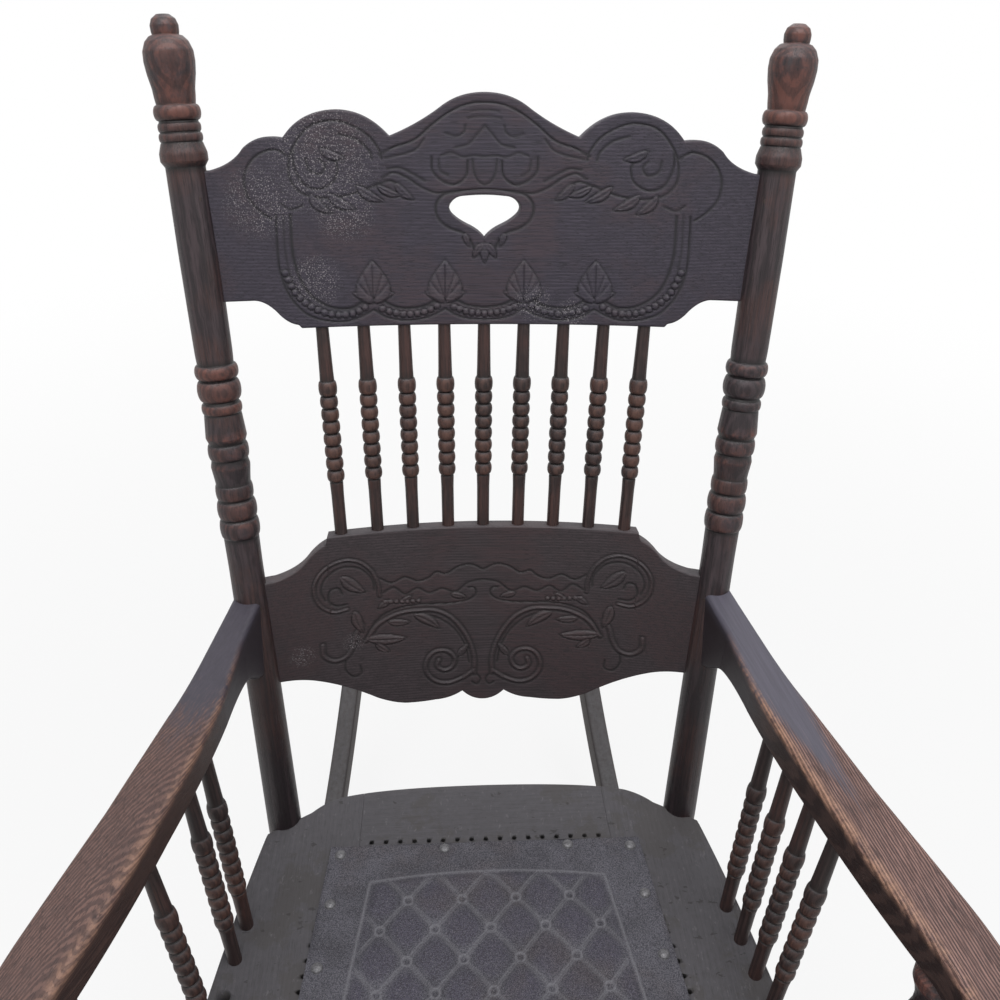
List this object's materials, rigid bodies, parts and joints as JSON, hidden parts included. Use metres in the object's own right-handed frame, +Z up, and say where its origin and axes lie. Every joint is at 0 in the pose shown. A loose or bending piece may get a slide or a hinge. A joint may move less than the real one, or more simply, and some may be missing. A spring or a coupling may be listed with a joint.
{
  "type": "rocking chair",
  "caption": "Armed wooden rocking chair on bent runners, with turned posts and spindles, pressed back boards and a nailed quilted leather seat.",
  "frame": {"origin": "on the floor, midway between the sides and midway between the front and rear tips of the runners, with the chair at rest", "axes": "+Z up, +Y towards the back of the chair, +X to the right as seen from the front"},
  "size_m": [0.622, 0.8978, 1.0771],
  "materials": {
    "back_posts": "dark oiled oak, turned, worn reddish on the beads",
    "crest_rail": "dark oak with pressed ornament, dusty in the hollows",
    "lower_back_slat": "dark oak with pressed ornament, dusty in the hollows",
    "back_spindles": "dark oak, worn reddish brown on the beads",
    "arms": "open-grained oak, worn brown along the inner edges",
    "arm_posts": "dark turned oak",
    "arm_spindles": "dark oak, worn reddish brown on the beads",
    "seat_boards": "matte grey-black oak under dust",
    "dowels": "plain dowel rod",
    "leather": "pressed quilted leather, dusty and dull",
    "nails": "dulled steel",
    "front_legs": "dark turned oak",
    "stretchers": "dark turned oak",
    "runners": "dark oak under dust, scuffed below",
    "screws": "dulled steel",
    "pins": "dark end grain"
  },
  "bodies": {
    "root": {"left_back_post": "back_posts", "right_back_post": "back_posts", "crest_rail": "crest_rail", "lower_back_slat": "lower_back_slat", "back_spindle_1": "back_spindles", "back_spindle_2": "back_spindles", "back_spindle_3": "back_spindles", "back_spindle_4": "back_spindles", "back_spindle_5": "back_spindles", "back_spindle_6": "back_spindles", "back_spindle_7": "back_spindles", "back_spindle_8": "back_spindles", "back_spindle_9": "back_spindles", "left_arm": "arms", "right_arm": "arms", "left_arm_post": "arm_posts", "right_arm_post": "arm_posts", "left_arm_spindle_1": "arm_spindles", "left_arm_spindle_2": "arm_spindles", "left_arm_spindle_4": "arm_spindles", "right_arm_spindle_1": "arm_spindles", "right_arm_spindle_2": "arm_spindles", "right_arm_spindle_3": "arm_spindles", "right_arm_spindle_4": "arm_spindles", "seat_rear_board": "seat_boards", "seat_front_board": "seat_boards", "seat_left_board": "seat_boards", "seat_right_board": "seat_boards", "seat_dowels": "dowels", "leather_border": "leather", "leather_quilt": "leather", "leather_nails": "nails", "left_front_leg": "front_legs", "right_front_leg": "front_legs", "front_stretcher_lower": "stretchers", "front_stretcher_upper": "stretchers", "rear_stretcher": "stretchers", "left_stretcher_lower": "stretchers", "left_stretcher_upper": "stretchers", "right_stretcher_lower": "stretchers", "right_stretcher_upper": "stretchers", "left_runner": "runners", "right_runner": "runners", "arm_screws": "screws", "seat_screws": "screws", "board_pins": "pins", "runner_pins": "pins"}
  },
  "joints": []
}
